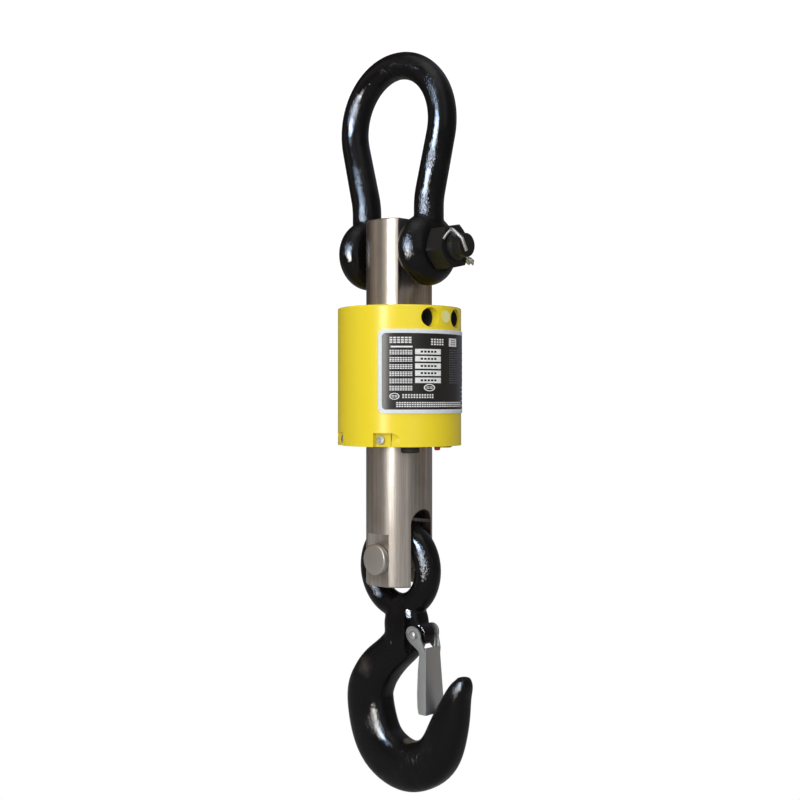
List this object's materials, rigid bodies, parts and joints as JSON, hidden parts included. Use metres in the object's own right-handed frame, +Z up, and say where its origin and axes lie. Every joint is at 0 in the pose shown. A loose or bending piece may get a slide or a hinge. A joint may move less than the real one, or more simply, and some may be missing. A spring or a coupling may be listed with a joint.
{
  "type": "crane scale",
  "caption": "Hanging crane scale: bow shackle over a round load cell bar, a round yellow housing clamped to the bar, and a pinned safety hook with a sprung latch.",
  "frame": {"origin": "inside top of the shackle's crown, where a crane's hook carries the scale", "axes": "+Z up along the hanging scale, +X along the shackle bolt towards its nut, +Y towards the far end of the hook's pin"},
  "size_m": [0.1576, 0.1124, 0.6674],
  "materials": {
    "black_enamel": "gloss enamel over forged steel",
    "stainless": "brushed lengthwise",
    "yellow_shell": "smooth moulded",
    "zinc_plate": "bright zinc plate",
    "black_rubber": "matt",
    "black_plastic": "satin moulded",
    "red_plastic": "glossy",
    "black_oxide": "blackened steel",
    "nameplate_print": "black laminated label with pale blank bars",
    "sticker_paper": "plain pale sticker",
    "board_green": "solder mask",
    "cell_wrap": "shrink sleeve",
    "gauge_foil": "foil under clear lacquer",
    "cable_sheath": "soft sheath",
    "white_plastic": "moulded"
  },
  "bodies": {
    "shackle": {"shackle_bow": "black_enamel", "shackle_bolt": "black_enamel", "shackle_nut": "black_enamel", "split_pin": "zinc_plate"},
    "scale_body": {"load_cell_body": "stainless", "gauge_cover_front": "stainless", "gauge_cover_rear": "stainless", "strain_gauge_front": "gauge_foil", "strain_gauge_rear": "gauge_foil", "front_shell": "yellow_shell", "rear_shell": "yellow_shell", "top_seal": "black_rubber", "base_plate": "yellow_shell", "base_seal": "black_rubber", "base_screw_1": "zinc_plate", "base_screw_2": "zinc_plate", "base_screw_3": "zinc_plate", "base_screw_4": "zinc_plate", "clamp_screw_1": "black_oxide", "clamp_screw_2": "black_oxide", "clamp_screw_3": "black_oxide", "clamp_screw_4": "black_oxide", "nameplate": "nameplate_print", "number_sticker": "sticker_paper", "charge_socket": "black_plastic", "switch_body": "black_plastic", "antenna_cap": "black_plastic", "antenna": "black_rubber", "circuit_board": "board_green", "radio_module": "zinc_plate", "board_bracket": "zinc_plate", "battery_cell_1": "cell_wrap", "battery_cell_2": "cell_wrap", "battery_cell_3": "cell_wrap", "battery_cell_4": "cell_wrap", "battery_tray": "white_plastic", "battery_cap": "white_plastic", "gauge_cable": "cable_sheath", "charge_lead": "cable_sheath", "hook_pin": "stainless", "pin_washer": "stainless", "pin_clip": "black_oxide"},
    "hook": {"hook_body": "black_enamel", "latch_pin": "zinc_plate"},
    "latch": {"latch": "zinc_plate", "latch_spring": "zinc_plate"},
    "power_button": {"power_button": "red_plastic"}
  },
  "joints": [
    {"name": "shackle_swing", "type": "hinge", "parent": "shackle", "child": "scale_body", "pos_m": [0, 0, -0.157], "axis": [1, 0, 0], "range_deg": [-120, 120]},
    {"name": "hook_swing", "type": "hinge", "parent": "scale_body", "child": "hook", "pos_m": [0.0025, 0, -0.4328], "axis": [0, 1, 0], "range_deg": [-65, 65]},
    {"name": "latch_hinge", "type": "hinge", "parent": "hook", "child": "latch", "pos_m": [0.0315, 0, -0.499], "axis": [0, 1, 0], "range_deg": [0, 25], "stiffness_Nm_per_rad": 0.08, "springref_deg": -22.92},
    {"name": "button_press", "type": "slide", "parent": "scale_body", "child": "power_button", "axis": [0, 0, 1], "range_m": [0, 0.0015], "stiffness_N_per_m": 300, "springref_m": -0.0005}
  ]
}
